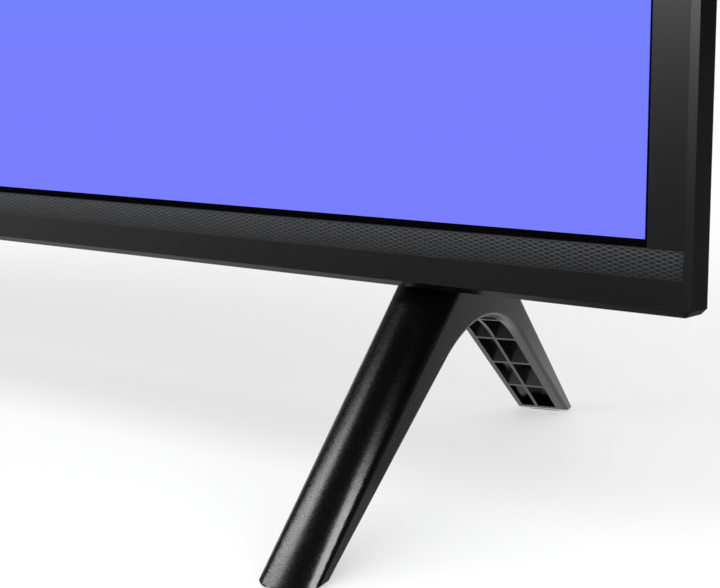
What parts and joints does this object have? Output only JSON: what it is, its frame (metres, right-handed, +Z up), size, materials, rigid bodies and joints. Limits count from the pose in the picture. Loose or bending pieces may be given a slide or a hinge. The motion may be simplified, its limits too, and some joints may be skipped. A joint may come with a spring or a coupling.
{
  "type": "flat screen tv",
  "caption": "Flat screen tv with a thin dark bezel, a textured strip under the screen and two splayed arched legs.",
  "frame": {"origin": "on the floor, under the middle of the box round the whole set on its legs", "axes": "+X along the width, to the viewer's right when facing the screen; +Y to the back of the set; +Z up"},
  "size_m": [0.7228, 0.197, 0.478],
  "materials": {
    "bezel_plastic": "satin, very dark",
    "strip_plastic": "embossed diamond lattice",
    "window_plastic": "smoked",
    "circuit_board": "green lacquer",
    "dark_part": "moulded",
    "screen": "lit pale blue-violet, matt front film",
    "inner_plastic": "moulded",
    "white_sheet": "diffusing white",
    "bar_metal": "plain",
    "lens_plastic": "clear moulded",
    "sheet_steel": "zinc-coated sheet",
    "cover_plastic": "fine grain",
    "screw_steel": "blackened",
    "socket_metal": "nickel-coated",
    "pin_brass": "plated",
    "cable_film": "flat ribbon",
    "button_plastic": "satin",
    "speaker_metal": "black",
    "magnet_iron": "plain",
    "cone_paper": "pressed paper",
    "surround_rubber": "soft",
    "leg_plastic": "satin with a fine sparkling grain",
    "pad_rubber": "soft"
  },
  "bodies": {
    "set": {"aerial_socket": "socket_metal", "audio_socket": "dark_part", "back_pan": "sheet_steel", "board_screws": "screw_steel", "button_board": "circuit_board", "cover_screws": "screw_steel", "diffuser_plate": "white_sheet", "foot_pads": "pad_rubber", "front_bezel": "bezel_plastic", "hdmi_sockets": "socket_metal", "heat_sink": "bar_metal", "inlet_pins": "pin_brass", "lcd_panel": "screen", "led_bars": "bar_metal", "led_lenses": "lens_plastic", "left_leg": "leg_plastic", "left_speaker_box": "inner_plastic", "left_speaker_frame": "speaker_metal", "left_speaker_magnet": "magnet_iron", "left_speaker_surround": "surround_rubber", "leg_brackets": "sheet_steel", "leg_screws": "screw_steel", "main_board": "circuit_board", "main_board_parts": "dark_part", "middle_frame": "inner_plastic", "network_socket": "socket_metal", "optical_films": "white_sheet", "optical_socket": "dark_part", "panel_cable": "cable_film", "power_board": "circuit_board", "power_board_parts": "dark_part", "power_inlet": "dark_part", "power_switch": "dark_part", "rear_cover": "cover_plastic", "receiver_board": "circuit_board", "receiver_sensor": "dark_part", "receiver_window": "window_plastic", "reflector_sheet": "white_sheet", "right_leg": "leg_plastic", "right_speaker_box": "inner_plastic", "right_speaker_frame": "speaker_metal", "right_speaker_magnet": "magnet_iron", "right_speaker_surround": "surround_rubber", "timing_board": "circuit_board", "trim_strip": "strip_plastic", "usb_sockets": "socket_metal", "wall_mount_posts": "sheet_steel", "wireless_board": "circuit_board"},
    "power_button": {"power_button": "button_plastic", "switch_stem": "dark_part"},
    "left_cone": {"left_speaker_cone": "cone_paper"},
    "right_cone": {"right_speaker_cone": "cone_paper"}
  },
  "joints": [
    {"name": "power_button_press", "type": "slide", "parent": "set", "child": "power_button", "axis": [0, 0, 1], "range_m": [0, 0.0006], "stiffness_N_per_m": 3000, "springref_m": -0.0005},
    {"name": "left_cone_travel", "type": "slide", "parent": "set", "child": "left_cone", "axis": [0, 0, 1], "range_m": [-0.0006, 0.0006], "stiffness_N_per_m": 1500, "deforming": ["left_speaker_surround"]},
    {"name": "right_cone_travel", "type": "slide", "parent": "set", "child": "right_cone", "axis": [0, 0, 1], "range_m": [-0.0006, 0.0006], "stiffness_N_per_m": 1500, "deforming": ["right_speaker_surround"]}
  ]
}
